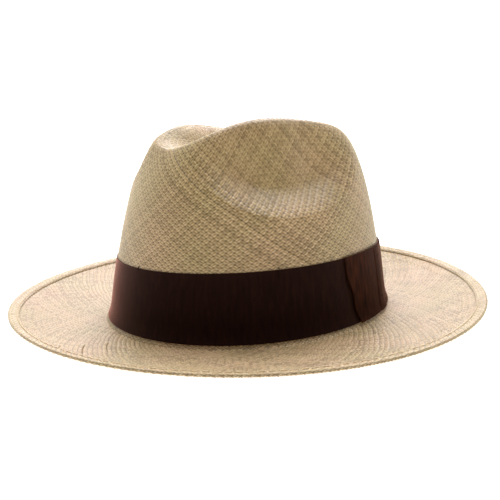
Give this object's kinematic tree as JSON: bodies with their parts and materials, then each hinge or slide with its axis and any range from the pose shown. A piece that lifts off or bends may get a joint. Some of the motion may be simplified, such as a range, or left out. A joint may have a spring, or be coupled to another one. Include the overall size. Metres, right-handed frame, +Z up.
{
  "type": "panama hat",
  "caption": "Woven straw hat with a dented and pinched crown, a flat brim with a turned edge, a dark ribbon band with a flat side bow, and a leather sweatband.",
  "frame": {"origin": "on the surface the hat stands on, below the middle of the brim", "axes": "+Z up through the crown, -Y towards the front of the hat, +X towards the wearer's left, where the bow is"},
  "size_m": [0.312, 0.3262, 0.1286],
  "materials": {
    "straw": "woven toquilla straw, satin",
    "straw_thread": "cotton thread",
    "ribbon": "ribbed grosgrain with a dull sheen",
    "dark_thread": "cotton thread",
    "sweatband_leather": "smooth, semi-matt",
    "reed_plastic": "matt",
    "label_paper": "matt paper"
  },
  "bodies": {
    "root": {"straw_body": "straw", "hem_stitching": "straw_thread", "hat_band": "ribbon", "band_tacks": "dark_thread", "bow_front_wing": "ribbon", "bow_rear_wing": "ribbon", "bow_tail": "ribbon", "bow_knot": "ribbon", "bow_tacks": "dark_thread", "sweatband": "sweatband_leather", "sweatband_reed": "reed_plastic", "sweatband_stitching": "straw_thread", "sweatband_seam_stitches": "straw_thread", "sweatband_bow": "ribbon", "size_label": "label_paper"}
  },
  "joints": []
}
